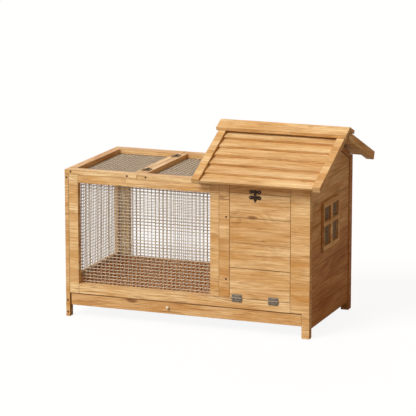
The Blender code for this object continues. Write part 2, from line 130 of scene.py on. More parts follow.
# ---- Stained fir, for every board ----
# Flat-sawn fir, planed, then brushed with a clear honey-brown satin stain. It shows
# growth rings as long pale and brown streaks, a few knots, and darker arrises and ends.
def stained_fir():
    """The wood's material. It reads the three attributes that stain writes on a piece."""
    made = bpy.data.materials.new("stained_fir_planed")
    made.use_nodes = True
    tree = made.node_tree
    shader = tree.nodes["Principled BSDF"]
    grain = add_node(tree, "ShaderNodeAttribute", attribute_name="grain").outputs["Vector"]
    tone = add_node(tree, "ShaderNodeAttribute", attribute_name="tone").outputs["Fac"]
    worn = add_node(tree, "ShaderNodeAttribute", attribute_name="worn").outputs["Fac"]

    def noise(stretch, detail, roughness=0.5):
        """Noise with so many changes per metre along, across and through the board."""
        place = add_node(tree, "ShaderNodeMapping", {"Vector": grain, "Scale": stretch})
        return add_node(tree, "ShaderNodeTexNoise",
                        {"Vector": place.outputs[0], "Scale": 1.0, "Detail": detail,
                         "Roughness": roughness}).outputs["Fac"]

    def math(operation, first, second=0.0, third=0.0):
        """One step of arithmetic."""
        return add_node(tree, "ShaderNodeMath", {0: first, 1: second, 2: third},
                        operation=operation).outputs[0]

    def band(value, low, high):
        """0 below low, 1 above high, with a soft step between."""
        return add_node(tree, "ShaderNodeMapRange",
                        {"Value": value, "From Min": low, "From Max": high},
                        interpolation_type="SMOOTHSTEP").outputs["Result"]

    def mixed(amount, first, second, blend="MIX"):
        """Two colours mixed, with this much of the second."""
        return add_node(tree, "ShaderNodeMix", {0: amount, 6: first, 7: second},
                        data_type="RGBA", blend_type=blend).outputs[2]

    # knots: at most one in each cell of 0.30 x 0.11 m, an oval of about 40 x 15 mm
    cell = add_node(tree, "ShaderNodeMapping", {"Vector": grain, "Scale": (3.4, 9.0, 5.0)})
    nearest = add_node(tree, "ShaderNodeTexVoronoi", {"Vector": cell.outputs[0], "Scale": 1.0})
    kept = band(add_node(tree, "ShaderNodeSeparateColor",
                         {"Color": nearest.outputs["Color"]}).outputs[0], 0.40, 0.42)
    swirl = math("MULTIPLY", kept, band(nearest.outputs["Distance"], 0.34, 0.02))
    eye = math("MULTIPLY", kept, band(nearest.outputs["Distance"], 0.095, 0.045))
    # short drying cracks run out of a knot along the grain
    split = add_node(tree, "ShaderNodeMapping", {"Vector": grain, "Scale": (9.0, 260.0, 260.0)})
    split = add_node(tree, "ShaderNodeTexNoise", {"Vector": split.outputs[0], "Scale": 1.0,
                                                  "Detail": 1.0}).outputs["Fac"]
    crack = math("MULTIPLY", swirl, band(split, 0.60, 0.68))

    # growth rings: distance from the pith, bent by slow noise and round the knots
    across = add_node(tree, "ShaderNodeMapping", {"Vector": grain, "Scale": (0, 1, 1)})
    ring = add_node(tree, "ShaderNodeVectorMath", {0: across.outputs[0]},
                    operation="LENGTH").outputs["Value"]
    ring = math("MULTIPLY_ADD", noise((1.6, 7.0, 7.0), 2.0), 0.075, ring)
    ring = math("MULTIPLY_ADD", noise((7.0, 30.0, 30.0), 2.0), 0.006, ring)
    ring = math("MULTIPLY_ADD", swirl, 0.016, ring)
    ring = math("FRACT", math("DIVIDE", ring, 0.0085))
    late = math("MULTIPLY", band(ring, 0.30, 0.92), band(ring, 1.0, 0.94))
    late = math("MULTIPLY", late, band(noise((2.6, 18.0, 18.0), 2.0), 0.36, 0.70))

    streak = noise((7.0, 240.0, 240.0), 5.0, 0.78)
    fibre = noise((34.0, 800.0, 800.0), 2.0, 0.6)
    dash = band(noise((12.0, 230.0, 230.0), 3.0, 0.5), 0.60, 0.70)
    broad = noise((3.4, 20.0, 20.0), 4.0, 0.68)

    colour = mixed(band(broad, 0.22, 0.78), linear("#F7DFAE"), linear("#D09A50"))
    colour = mixed(math("MULTIPLY", band(streak, 0.40, 0.70), 0.66), colour, linear("#B27434"))
    colour = mixed(math("MULTIPLY", late, 0.50), colour, linear("#B0783F"))
    colour = mixed(math("MULTIPLY", dash, 0.66), colour, linear("#8A5628"))
    colour = mixed(math("MULTIPLY", eye, 0.75), colour, linear("#7A4A20"))
    colour = mixed(math("MULTIPLY", crack, 0.90), colour, linear("#6E4118"))
    pale = math("MULTIPLY_ADD", broad, -0.20, 1.12)
    pale = math("MULTIPLY", pale, math("MULTIPLY_ADD", fibre, 0.50, 0.75))
    pale = math("MULTIPLY", pale, math("MULTIPLY_ADD", worn, -0.42, 1.0))
    # the tone holds the depth of stain, painted shade on some pieces and painted light on one: the
    # darker it is, the more green and blue than red it takes out
    stain_and_shade_rgb = [math("MULTIPLY", pale, math("POWER", tone, power)) for power in (1.0, 1.9, 2.7)]
    shade = add_node(tree, "ShaderNodeCombineXYZ", dict(enumerate(stain_and_shade_rgb))).outputs[0]
    tree.links.new(mixed(1.0, colour, shade, "MULTIPLY"), shader.inputs["Base Color"])

    gloss = math("MULTIPLY_ADD", streak, 0.22, 0.40)
    tree.links.new(math("MULTIPLY_ADD", worn, 0.12, gloss), shader.inputs["Roughness"])
    height = math("MULTIPLY_ADD", late, 0.5, math("MULTIPLY", fibre, 0.6))
    height = math("MULTIPLY_ADD", streak, 0.8, height)
    bump = add_node(tree, "ShaderNodeBump",
                    {"Height": height, "Strength": 0.35, "Distance": 0.0004})
    tree.links.new(bump.outputs[0], shader.inputs["Normal"])
    shader.inputs["Specular IOR Level"].default_value = 0.32
    return made


FIR = stained_fir()
ARRIS = 0.0009                  # how far the planed edges are rounded off
FINE_ARRIS = 0.0006             # the same for boards that lie flush with each other
SQUARE = 0.985                  # the largest part of a normal is under this on an arris only
END_SHADE = 0.80                # end grain takes more stain
SAME = 1e-5                     # points closer than this are one


def choose_only(*pieces):
    """Selects these pieces, and makes the first the active one."""
    bpy.ops.object.select_all(action="DESELECT")
    for piece in pieces:
        piece.select_set(True)
    bpy.context.view_layer.objects.active = pieces[0]


def stain(piece, along, shade=1.0, wrapped=False, pitch=0.0, edge=1.0):
    """Writes where each corner lies in the log that the board was sawn from.

    The grain runs along X, Y or Z. A wrapped board shows level grain on its ends too.
    A board on a roof slope is measured square to it: pitch turns it level about X.
    edge darkens the long sawn edges that face along Y: painted shade, as under the roof's slat
    laps.
    """
    luck = Random(piece.name)
    pith = (luck.uniform(-0.07, 0.07), luck.uniform(0.02, 0.09))
    start = luck.uniform(0, 40)
    tone = shade * luck.uniform(0.95, 1.04)
    mesh = piece.data
    level = Matrix.Rotation(pitch, 3, "X")
    points = [level @ vertex.co for vertex in mesh.vertices]
    middle = sum(points, Vector()) / len(points)
    # axes along the grain, then across it in the face, then into the board
    order = {"X": (0, 2, 1), "Y": (1, 2, 0), "Z": (2, 0, 1)}[along]
    grain, stain_and_shade_values, worn = [], [], []
    for face in mesh.polygons:
        sizes = [abs(value) for value in level @ face.normal]
        side = sizes.index(max(sizes))
        axes = order
        end = side == order[0]
        if side == 2 and along != "Z":
            axes = (order[0], 1 - order[0], 2)
        if end and wrapped:
            axes, end = ((1, 2, 0) if side == 0 else (0, 2, 1)), False
        arris = max(sizes) < SQUARE
        for corner in face.vertices:
            point = points[corner]
            grain += [point[axes[0]] + start, point[axes[1]] - middle[axes[1]] + pith[0],
                      point[axes[2]] - middle[axes[2]] + pith[1]]
            # end grain takes more stain; edge is painted shade along the sawn edges
            stain_and_shade_values.append(tone * (END_SHADE if end else edge if side == 1 else 1.0))
            worn.append(1.0 if arris else 0.0)
    for name, kind, values, key in (("grain", "FLOAT_VECTOR", grain, "vector"),
                                    ("tone", "FLOAT", stain_and_shade_values, "value"),
                                    ("worn", "FLOAT", worn, "value")):
        mesh.attributes.new(name, kind, "CORNER").data.foreach_set(key, values)
    mesh.materials.clear()
    mesh.materials.append(FIR)


def sawn_board(name, low, high, along="X", shade=1.0, wrapped=False, grooves=(), face=None,
               arris=ARRIS):
    """A planed board between two corners, with level V-grooves in one face if asked."""
    low, high = Vector(low), Vector(high)
    bpy.ops.mesh.primitive_cube_add(size=1, location=(low + high) / 2)
    made = bpy.context.active_object
    made.name = made.data.name = name
    made.scale = high - low
    bpy.ops.object.transform_apply(location=True, rotation=True, scale=True)
    bpy.ops.object.mode_set(mode="EDIT")
    bpy.ops.mesh.select_all(action="SELECT")
    bpy.ops.mesh.bevel(offset=arris, segments=2, affect="EDGES")
    bpy.ops.object.mode_set(mode="OBJECT")
    if grooves:
        cut_grooves(made, grooves, "Z", face)
    stain(made, along, shade, wrapped)
    return made


def cut_grooves(piece, heights, cut, face, half=0.0016, deep=0.0022):
    """V-grooves at these heights along the cut axis, in the side that looks along face."""
    choose_only(piece)
    axis = "XYZ".index(cut)
    square = Vector((0, 0, 0))
    square[axis] = 1
    face = Vector(face)
    bpy.ops.object.mode_set(mode="EDIT")
    for height in heights:
        for shift in (-half, 0, half):
            bpy.ops.mesh.select_all(action="SELECT")
            bpy.ops.mesh.bisect(plane_co=square * (height + shift), plane_no=square)
    bpy.ops.object.mode_set(mode="OBJECT")
    outer = max(vertex.co.dot(face) for vertex in piece.data.vertices)
    for vertex in piece.data.vertices:
        on_face = vertex.co.dot(face) > outer - SAME
        if on_face and any(abs(vertex.co[axis] - height) < SAME for height in heights):
            vertex.co -= face * deep


def joined(name, parts):
    """One object made of several."""
    choose_only(*parts)
    if len(parts) > 1:
        bpy.ops.object.join()
    made = bpy.context.active_object
    made.name = made.data.name = name
    return made


def fit(piece, body, slot, *nodes):
    """The piece moves with its body and stands for its CAD nodes."""
    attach(piece, body)
    if nodes:
        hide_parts(*nodes)


def copied(name, node, arris=ARRIS):
    """A CAD board as one clean surface, with its arrises rounded."""
    made = bpy.data.objects.new(name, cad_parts[node].data.copy())
    made.data.name = name
    bpy.context.scene.collection.objects.link(made)
    choose_only(made)
    bpy.ops.object.mode_set(mode="EDIT")
    bpy.ops.mesh.customdata_custom_splitnormals_clear()
    bpy.ops.mesh.select_all(action="SELECT")
    bpy.ops.mesh.remove_doubles(threshold=SAME)
    bpy.ops.mesh.dissolve_limited(angle_limit=radians(1))
    bpy.ops.mesh.select_all(action="SELECT")
    bpy.ops.mesh.bevel(offset=arris, segments=2, affect="EDGES")
    bpy.ops.object.mode_set(mode="OBJECT")
    bpy.ops.object.shade_flat()
    return made


# ---- Left side of the run ----
# Two legs that run down to the floor, with a wide low rail and a top rail between
# them. The grain of every upright of the hutch runs level, round its corners too.
low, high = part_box("left_side_frame")
LEG = 0.026
LOW_RAIL = (0.043, 0.136)       # its lower and upper edge
TOP_RAIL = 0.480                # lower edge of the top rails
inner, outer = low.y + LEG, high.y - LEG
parts = [
    sawn_board("left_leg_front", low, (high.x, inner, high.z), "X", wrapped=True),
    sawn_board("left_leg_rear", (low.x, outer, low.z), high, "X", wrapped=True),
    sawn_board("left_rail_low", (low.x, inner, LOW_RAIL[0]), (high.x, outer, LOW_RAIL[1]), "Y"),
    sawn_board("left_rail_top", (low.x, inner, TOP_RAIL), (high.x, outer, high.z), "Y"),
]
fit(joined("left_side_timber", parts), "hutch", "stained_fir", "left_side_frame")


# ---- Front of the run and of the house ----
# Uprights and rails of one thickness, flush with each other, fixed edge to edge. The
# board at the right corner is cut to the roof's slope.
# the house's top rail is stained darker: painted shade from the eave above it
for node, shade in (("front_left_stile", 1.0), ("front_top_rail", 1.0),
                    ("front_bottom_rail", 1.0), ("front_mid_post", 1.0),
                    ("house_left_stile", 0.98), ("house_top_rail", 0.90)):
    low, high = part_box(node)
    piece = sawn_board(node + "_timber", low, high, "X", shade, wrapped=True, arris=FINE_ARRIS)
    fit(piece, "hutch", "stained_fir", node)
piece = copied("right_corner_timber", "right_corner_board", FINE_ARRIS)
stain(piece, "X", wrapped=True)
fit(piece, "hutch", "stained_fir", "right_corner_board")


# ---- Back of the run ----
# Two uprights between two wide rails. The left upright is stained paler than the rest:
# painted light on a face that stands in the run's shade.
low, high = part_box("rear_run_frame")
REAR_RAIL = 0.1225              # upper edge of the low rail
STILE_LEFT, STILE_RIGHT = 0.0397, 0.0322
parts = [
    sawn_board("rear_rail_low", low, (high.x, high.y, REAR_RAIL), "X", 1.06),
    sawn_board("rear_rail_top", (low.x, low.y, TOP_RAIL), high, "X"),
    # the left upright's paler stain is painted light
    sawn_board("rear_stile_left", (low.x, low.y, REAR_RAIL),
               (low.x + STILE_LEFT, high.y, TOP_RAIL), "X", 1.26, wrapped=True),
    sawn_board("rear_stile_right", (high.x - STILE_RIGHT, low.y, REAR_RAIL),
               (high.x, high.y, TOP_RAIL), "X", wrapped=True),
]
fit(joined("rear_run_timber", parts), "hutch", "stained_fir", "rear_run_frame")


# ---- Lid of the run, and the fixed frame beside it ----
# Flat frames: the rails at the front and back run through, the cross rails butt
# between them. The lid's outer cross rail is the widest.
RAIL_FRONT, RAIL_BACK, RAIL_CROSS, RAIL_OUTER = 0.037, 0.047, 0.0228, 0.031
for node, body, rail_left in (("lid_frame", "run_lid", RAIL_OUTER),
                              ("run_top_frame", "hutch", RAIL_CROSS)):
    low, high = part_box(node)
    front, back = low.y + RAIL_FRONT, high.y - RAIL_BACK
    left, right = low.x + rail_left, high.x - RAIL_CROSS
    parts = [
        sawn_board(node + "_rail_front", low, (high.x, front, high.z), "X", 1.04,
                   arris=FINE_ARRIS),
        sawn_board(node + "_rail_back", (low.x, back, low.z), high, "X", arris=FINE_ARRIS),
        sawn_board(node + "_rail_left", (low.x, front, low.z), (left, back, high.z), "Y"),
        sawn_board(node + "_rail_right", (right, front, low.z), (high.x, back, high.z), "Y"),
    ]
    fit(joined(node + "_timber", parts), body, "stained_fir", node)


# ---- Welded wire panels ----
# Drawn steel wire, welded where it crosses and dipped in zinc: dull grey with a soft
# shine. The floor's wire is wider spaced, heavier from front to back than across, and
# coloured pale tan: a painted reflection of the stained wood round it, made lighter as painted
# light.
def galvanised_wire(name, dark, light):
    """Zinc in small pale and dark patches."""
    made = bpy.data.materials.new(name)
    made.use_nodes = True
    tree = made.node_tree
    shader = tree.nodes["Principled BSDF"]
    place = add_node(tree, "ShaderNodeTexCoord").outputs["Object"]
    spangle = add_node(tree, "ShaderNodeTexNoise",
                       {"Vector": place, "Scale": 260.0, "Detail": 3.0}).outputs["Fac"]
    colour = add_node(tree, "ShaderNodeMix",
                      {0: spangle, 6: linear(dark), 7: linear(light)},
                      data_type="RGBA").outputs[2]
    tree.links.new(colour, shader.inputs["Base Color"])
    dull = add_node(tree, "ShaderNodeMath", {0: spangle, 1: 0.25, 2: 0.34},
                    operation="MULTIPLY_ADD").outputs[0]
    tree.links.new(dull, shader.inputs["Roughness"])
    shader.inputs["Metallic"].default_value = 0.35
    return made


ZINC = galvanised_wire("galvanised_steel_wire", "#B2A898", "#DCD3C4")
# the floor wire's tan is a painted reflection of the wood, lightened as painted light
FLOOR_WIRE_PAINTED_REFLECTION = galvanised_wire("stained_steel_wire", "#E2A562", "#FFD295")
CELL = (0.0146, 0.0114)         # width and height between the wires' middles
WIRE = (0.00125, 0.00125)       # radius of the wires across and of those that run up
FLOOR_CELL = (0.0172, 0.0172)
FLOOR_WIRE = (0.0010, 0.0022)
WELD = 0.8                      # crossing wires lie this share of the touching distance apart


def wires(count, step, start, axis, length, radius):
    """A row of straight wires along an axis, the first centred on start."""
    turn = {"X": (0, pi / 2, 0), "Y": (pi / 2, 0, 0), "Z": (0, 0, 0)}[axis]
    bpy.ops.mesh.primitive_cylinder_add(vertices=6, radius=radius, depth=length,
                                        location=start, rotation=turn)
    made = bpy.context.active_object
    bpy.ops.object.transform_apply(location=True, rotation=True, scale=True)
    row = made.modifiers.new("row", "ARRAY")
    row.count = count
    row.use_relative_offset = False
    row.use_constant_offset = True
    row.constant_offset_displace = step
    bpy.ops.object.modifier_apply(modifier="row")
    return made


def welded_panel(name, node, across, up, body, cell=CELL, radii=WIRE, look=ZINC):
    """A wire panel where the CAD has a thin sheet: one row of wires on each side of it."""
    low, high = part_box(node)
    middle = (low + high) / 2
    first, second = "XYZ".index(across), "XYZ".index(up)
    through = 3 - first - second
    rows = []
    for run, step, pitch, radius, side in ((first, second, cell[1], radii[0], -1),
                                           (second, first, cell[0], radii[1], 1)):
        count = int((high[step] - low[step] - 2 * radius - pitch / 2) / pitch) + 1
        place = middle.copy()
        place[step] = low[step] + radius + pitch / 2
        place[through] += side * radius * WELD
        shift = Vector((0, 0, 0))
        shift[step] = pitch
        rows.append(wires(count, shift, place, "XYZ"[run], high[run] - low[run], radius))
    piece = joined(name, rows)
    piece.data.materials.clear()
    piece.data.materials.append(look)
    bpy.ops.object.shade_smooth_by_angle(angle=radians(70))
    fit(piece, body, "welded_wire", node)


welded_panel("run_front_wire", "front_mesh", "X", "Z", "hutch")
welded_panel("run_rear_wire", "rear_mesh", "X", "Z", "hutch")
welded_panel("run_left_wire", "left_side_mesh", "Y", "Z", "hutch")
welded_panel("run_floor_wire", "wire_floor", "X", "Y", "hutch", FLOOR_CELL, FLOOR_WIRE,
             FLOOR_WIRE_PAINTED_REFLECTION)
welded_panel("lid_wire", "lid_mesh", "X", "Y", "run_lid")
welded_panel("run_top_wire", "run_top_mesh", "X", "Y", "hutch")
welded_panel("window_wire", "window_mesh", "Y", "Z", "hutch")


# ---- Door of the house ----
# Two boards, one above the other, each with a level groove, on two battens. It drops
# forward on its hinges.
for name, node, groove in (("door_lining_low", "door_board_lower", 0.2270),
                           ("door_lining_top", "door_board_upper", 0.4026)):
    low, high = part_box(node)
    piece = sawn_board(name, low, high, "X", wrapped=True, grooves=(groove,), face=(0, -1, 0))
    fit(piece, "house_door", "stained_fir", node)
for side in ("left", "right"):
    low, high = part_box("door_batten_" + side)
    piece = sawn_board(f"door_batten_{side}_timber", low, high, "Z")
    fit(piece, "house_door", "stained_fir", "door_batten_" + side)


# ---- Right wall of the house ----
# Level boards with a groove along the middle of each, up to a gable under a sloping
# rail. The leg, the rail and the lower boards of this side are stained darker than the
# front as painted shade, the lowest boards darkest.
STRIP = 0.0707                  # from a seam between the wall's boards to the next groove
FIRST_GROOVE = 0.0960           # height of the lowest groove


def groove_heights(steps):
    """Where grooves of the lining lie, counted in strips above the lowest one."""
    return [FIRST_GROOVE + STRIP * step for step in steps]


# the darker stain of this side's leg, rail and boards is painted shade
low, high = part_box("right_rear_leg")
fit(sawn_board("right_rear_leg_timber", low, high, "X", 0.76, wrapped=True),
    "hutch", "stained_fir", "right_rear_leg")
for node, shade, arris, steps in (("right_wall_board_1", 0.75, 0.0004, (0,)),
                                  ("right_wall_board_2", 0.77, 0.0004, (2,)),
                                  ("right_wall_board_3", 0.90, 0.0004, (4,)),
                                  ("right_gable_board", 1.0, 0.0016, (6, 7)),
                                  ("right_gable_rail", 0.82, ARRIS, ())):
    piece = copied(node + "_timber", node, arris)
    if steps:
        cut_grooves(piece, groove_heights(steps), "Z", (1, 0, 0), half=0.0010, deep=0.0014)
    stain(piece, "Y", shade)
    fit(piece, "hutch", "stained_fir", node)


# ---- Window ----
# A small raised frame with a cross of glazing bars, a little paler than the wall. It
# has wire behind it instead of glass.
piece = copied("window_frame_timber", "window_frame")
stain(piece, "Y", 1.08)
fit(piece, "hutch", "stained_fir", "window_frame")


# ---- Inside of the house ----
# A partition with a doorway to the run and a back wall, both grooved in line with the
# right wall, and a plain floor.
piece = copied("partition_lining", "partition_wall")
cut_grooves(piece, groove_heights(range(1, 7)), "Z", (-1, 0, 0))
stain(piece, "Y", 0.95)
fit(piece, "hutch", "stained_fir", "partition_wall")
low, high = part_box("house_floor")
fit(sawn_board("house_floor_board", low, high, "X"), "hutch", "stained_fir", "house_floor")
low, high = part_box("house_back_wall")
piece = sawn_board("house_back_lining", low, high, "X", grooves=groove_heights(range(7)),
                   face=(0, 1, 0))
fit(piece, "hutch", "stained_fir", "house_back_wall")


# ---- Roof ----
# Six lapped slats between two battens at the front, boards between battens behind, and
# two ridge boards nailed along the top of the battens.
PITCH = {"front": radians(-25.2), "rear": radians(22.1)}
REAR_STRIP = 0.0500             # between the grooves of the boards behind
REAR_MARGIN = 0.01              # no groove lies nearer to their upper edge
# painted shade along the slats' sawn edges, where each lap shades the slat below
SLAT_EDGE_SHADE = 0.92                # the slats' sawn edges are this much darker
for node in ("front_roof_batten_left", "front_roof_batten_right", "rear_roof_batten_left",
             "rear_roof_batten_right", "rear_roof_boards", "ridge_board_front",
             "ridge_board_rear", *(f"front_roof_slat_{index}" for index in range(1, 7))):
    slope = "front" if "front" in node else "rear"
    piece = copied(node + "_timber", node)
    if node == "rear_roof_boards":
        level = Matrix.Rotation(PITCH["rear"], 4, "X")
        piece.data.transform(level)
        reach = [vertex.co.y for vertex in piece.data.vertices]
        grooves = [min(reach) + REAR_STRIP * step for step in range(1, 6)]
        cut_grooves(piece, [groove for groove in grooves if groove < max(reach) - REAR_MARGIN],
                    "Y", (0, 0, 1))
        piece.data.transform(level.inverted())
    # the slats get painted shade along their sawn edges
    edge = SLAT_EDGE_SHADE if "slat" in node else 1.0
    stain(piece, "X", 1.06, wrapped=True, pitch=PITCH[slope], edge=edge)
    fit(piece, "hutch", "roof_fir", node)


# ---- Tray ----
# A board front with a small pale turned knob, and a shallow box of thin board, on two
# runners screwed to the sides.
low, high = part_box("tray_front")
KNOB_REACH = 0.009              # from the board's face to the knob's end
KNOB = Vector((-0.0934, low.y + KNOB_REACH, 0.0655))
PAST_END = 0.0022               # the board reaches this far past its CAD solid on the right
piece = sawn_board("tray_front_timber", (low.x, KNOB.y, low.z),
                   (high.x + PAST_END, high.y, high.z), "X", 0.91, wrapped=True, arris=0.0005)
fit(piece, "tray", "stained_fir", "tray_front")
piece = copied("tray_pan_board", "tray_pan")
stain(piece, "X", 0.88, wrapped=True)
fit(piece, "tray", "stained_fir", "tray_pan")
for side in ("left", "right"):
    low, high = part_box("tray_runner_" + side)
    piece = sawn_board(f"tray_runner_{side}_timber", low, high, "Y", 0.9)
    fit(piece, "hutch", "stained_fir", "tray_runner_" + side)


def turned_knob():
    """A waist and a domed cap, raised from a disc ring by ring.

    Each ring is so far out from the last, and so many times its size.
    """
    bpy.ops.mesh.primitive_circle_add(vertices=32, radius=0.0036, fill_type="NGON",
                                      location=KNOB, rotation=(pi / 2, 0, 0))
    made = bpy.context.active_object
    made.name = made.data.name = "tray_knob"
    bpy.ops.object.transform_apply(location=True, rotation=True, scale=True)
    bpy.ops.object.mode_set(mode="EDIT")
    bpy.ops.mesh.select_all(action="SELECT")
    for out, size in ((0.0030, 1.0), (0.0012, 1.5), (0.0022, 1.02), (0.0014, 0.82), (0.0006, 0.5)):
        bpy.ops.mesh.extrude_region_move(TRANSFORM_OT_translate={"value": (0, -out, 0)})
        bpy.ops.transform.resize(value=(size, 1, size))
    bpy.ops.mesh.select_all(action="SELECT")
    bpy.ops.mesh.normals_make_consistent(inside=False)
    bpy.ops.object.mode_set(mode="OBJECT")
    bpy.ops.object.shade_smooth_by_angle(angle=radians(40))
    return made


def cream_paint():
    """Brushed gloss paint: cream, a little uneven, with a soft sheen."""
    made = bpy.data.materials.new("cream_gloss_paint")
    made.use_nodes = True
    tree = made.node_tree
    shader = tree.nodes["Principled BSDF"]
    place = add_node(tree, "ShaderNodeTexCoord").outputs["Object"]
    brushed = add_node(tree, "ShaderNodeTexNoise",
                       {"Vector": place, "Scale": 700.0, "Detail": 2.0}).outputs["Fac"]
    colour = add_node(tree, "ShaderNodeMix",
                      {0: brushed, 6: linear("#F1E6D6"), 7: linear("#E2D3BC")},
                      data_type="RGBA").outputs[2]
    tree.links.new(colour, shader.inputs["Base Color"])
    shader.inputs["Roughness"].default_value = 0.28
    return made


piece = turned_knob()
piece.data.materials.append(cream_paint())
fit(piece, "tray", "stained_fir")


# ---- Butt hinges of the door ----
# Two leaves of pressed zinc-plated steel each, with rolled knuckles that make up the
# barrel, and countersunk screws. One leaf is on the bottom rail, the other on the door.
def plated_metal(name, light, dark, roughness, metallic, grain_size):
    """Sheet metal with a faintly clouded, brushed surface."""
    made = bpy.data.materials.new(name)
    made.use_nodes = True
    tree = made.node_tree
    shader = tree.nodes["Principled BSDF"]
    place = add_node(tree, "ShaderNodeTexCoord").outputs["Object"]
    drawn = add_node(tree, "ShaderNodeMapping", {"Vector": place, "Scale": (0.15, 1, 1)})
    cloud = add_node(tree, "ShaderNodeTexNoise",
                     {"Vector": drawn.outputs[0], "Scale": 1 / grain_size, "Detail": 4.0}
                     ).outputs["Fac"]
    colour = add_node(tree, "ShaderNodeMix",
                      {0: cloud, 6: linear(light), 7: linear(dark)}, data_type="RGBA").outputs[2]
    tree.links.new(colour, shader.inputs["Base Color"])
    dull = add_node(tree, "ShaderNodeMath", {0: cloud, 1: 0.24, 2: roughness},
                    operation="MULTIPLY_ADD").outputs[0]
    tree.links.new(dull, shader.inputs["Roughness"])
    bump = add_node(tree, "ShaderNodeBump",
                    {"Height": cloud, "Strength": 0.2, "Distance": 0.0002})
    tree.links.new(bump.outputs[0], shader.inputs["Normal"])
    shader.inputs["Metallic"].default_value = metallic
    return made


STEEL = plated_metal("zinc_plated_steel_sheet", "#A9A296", "#77716A", 0.42, 0.6, 0.0012)
SCREW_STEEL = plated_metal("zinc_plated_steel_screw", "#8F8980", "#5E5852", 0.40, 0.7, 0.0008)
OLD_BRONZE = plated_metal("worn_bronze_sheet", "#A8967E", "#62513F", 0.40, 0.6, 0.0012)
BRONZE = plated_metal("antique_bronze_plate", "#5A4A3C", "#2E2620", 0.42, 0.6, 0.0016)
BARREL = 0.0030                 # radius
LEAF = 0.0015                   # thickness of the plate
HINGE = 0.0370                  # length along the barrel
LEAF_WIDTH = 0.0120             # of the flat plate, away from the barrel
LEAF_MIDDLE = 0.0075            # from the barrel's axis to the middle of the plate
HINGE_SCREWS = (-0.0120, 0.0120)        # along the barrel, from its middle
SCREW_ROW = 0.0088              # from the barrel's axis to the screws


def rounded_off(piece, width):
    """Takes the sharp edges off a piece that is the active one."""
    soft = piece.modifiers.new("edge", "BEVEL")
    soft.width = width
    soft.segments = 2
    soft.limit_method = "ANGLE"
    bpy.ops.object.modifier_apply(modifier="edge")


def screw_head(place, radius, look):
    """A raised countersunk head with a cross recess, facing the front."""
    bpy.ops.mesh.primitive_cylinder_add(vertices=20, radius=radius, depth=0.0006,
                                        location=(0, 0, 0.0003))
    made = bpy.context.active_object
    bpy.ops.object.transform_apply(location=True, rotation=True, scale=True)
    bpy.ops.object.mode_set(mode="EDIT")
    bpy.ops.mesh.select_all(action="DESELECT")
    bpy.ops.object.mode_set(mode="OBJECT")
    for face in made.data.polygons:
        face.select = face.normal.z > 0.9
    bpy.ops.object.mode_set(mode="EDIT")
    bpy.ops.mesh.inset(thickness=radius * 0.25, depth=0.0003)
    bpy.ops.object.mode_set(mode="OBJECT")
    reach = radius * 1.15
    for length, width in ((reach, reach * 0.26), (reach * 0.26, reach)):
        bpy.ops.mesh.primitive_cube_add(size=1, location=(0, 0, 0.0009))
        cutter = bpy.context.active_object
        cutter.scale = (length, width, 0.0007)
        slot = made.modifiers.new("recess", "BOOLEAN")
        slot.operation = "DIFFERENCE"
        slot.object = cutter
        choose_only(made)
        bpy.ops.object.modifier_apply(modifier="recess")
        bpy.data.objects.remove(cutter)
    turn = Vector((0, -1, 0)).to_track_quat("Z", "X").to_matrix().to_4x4()
    made.data.transform(Matrix.Translation(place) @ turn)
    made.data.materials.append(look)
    return made


def pressed_leaf(name, sign, tabs):
    """One leaf in the XZ plane, its barrel along X at the origin, its back at y = BARREL.

    sign says whether it goes up or down from the barrel. tabs are the ends of its
    knuckles, as shares of the hinge's length.
    """
    bpy.ops.mesh.primitive_cube_add(size=1, location=(0, BARREL - LEAF / 2, sign * LEAF_MIDDLE))
    plate = bpy.context.active_object
    plate.scale = (HINGE, LEAF, LEAF_WIDTH)
    bpy.ops.object.transform_apply(location=True, rotation=True, scale=True)
    bpy.ops.object.mode_set(mode="EDIT")
    bpy.ops.mesh.select_all(action="DESELECT")
    bpy.ops.object.mode_set(mode="OBJECT")
    mesh = plate.data
    for edge in mesh.edges:
        start, end = (mesh.vertices[index].co for index in edge.vertices)
        outer = min(sign * start.z, sign * end.z) > LEAF_MIDDLE
        edge.select = outer and abs(start.y - end.y) > LEAF / 2
    bpy.ops.object.mode_set(mode="EDIT")
    bpy.ops.mesh.bevel(offset=0.0022, segments=4, affect="EDGES")
    bpy.ops.object.mode_set(mode="OBJECT")
    rounded_off(plate, 0.00025)
    parts = [plate]
    for start, end in tabs:
        length = (end - start) * HINGE
        middle = (start + end) / 2 * HINGE - HINGE / 2
        bpy.ops.mesh.primitive_cylinder_add(vertices=28, radius=BARREL, depth=length,
                                            location=(middle, 0, 0), rotation=(0, pi / 2, 0))
        knuckle = bpy.context.active_object
        bpy.ops.object.transform_apply(location=True, rotation=True, scale=True)
        rounded_off(knuckle, 0.0003)
        parts.append(knuckle)
        # the neck between the knuckle and the plate
        bpy.ops.mesh.primitive_cube_add(size=1)
        web = bpy.context.active_object
        web.scale = (length - 0.0004, LEAF * 0.9, 0.0045)
        web.location = (middle, BARREL - LEAF / 2, sign * 0.0022)
        bpy.ops.object.transform_apply(location=True, rotation=True, scale=True)
        parts.append(web)
    return joined(name, parts)


